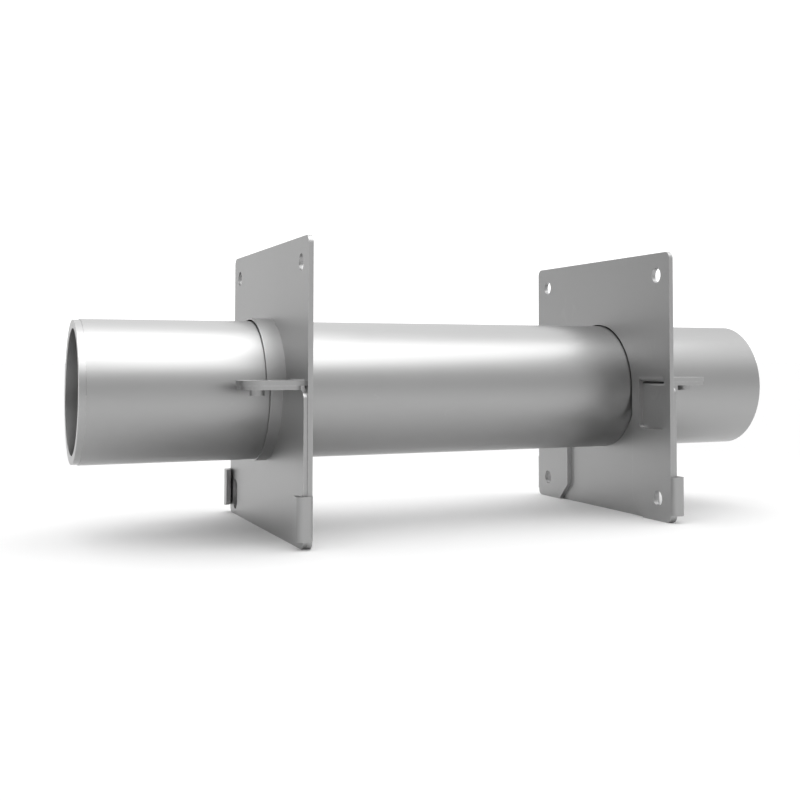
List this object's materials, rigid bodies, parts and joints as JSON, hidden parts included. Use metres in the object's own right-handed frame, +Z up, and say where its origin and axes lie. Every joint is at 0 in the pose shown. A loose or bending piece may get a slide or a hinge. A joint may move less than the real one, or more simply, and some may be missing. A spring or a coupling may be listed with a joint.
{
  "type": "firestop sleeve",
  "caption": "Round steel cable sleeve through a wall, with a square split escutcheon clamped on it each side of the wall space.",
  "frame": {"origin": "under the middle of the sleeve, on the level of the plates' bottom edges", "axes": "+X along the tube from the bushed end to the plain end, +Z up from the covers to the tops of the plates"},
  "size_m": [0.3054, 0.1186, 0.1143],
  "materials": {
    "tube_steel": "satin zinc-plated tube",
    "bushing_steel": "smooth satin",
    "plate_steel": "satin zinc-plated sheet",
    "screw_steel": "zinc-plated"
  },
  "bodies": {
    "root": {"sleeve_tube": "tube_steel", "throat_bushing": "bushing_steel", "left_main_plate": "plate_steel", "left_cover_plate": "plate_steel", "left_ear_screws": "screw_steel", "right_main_plate": "plate_steel", "right_cover_plate": "plate_steel", "right_ear_screws": "screw_steel"}
  },
  "joints": []
}
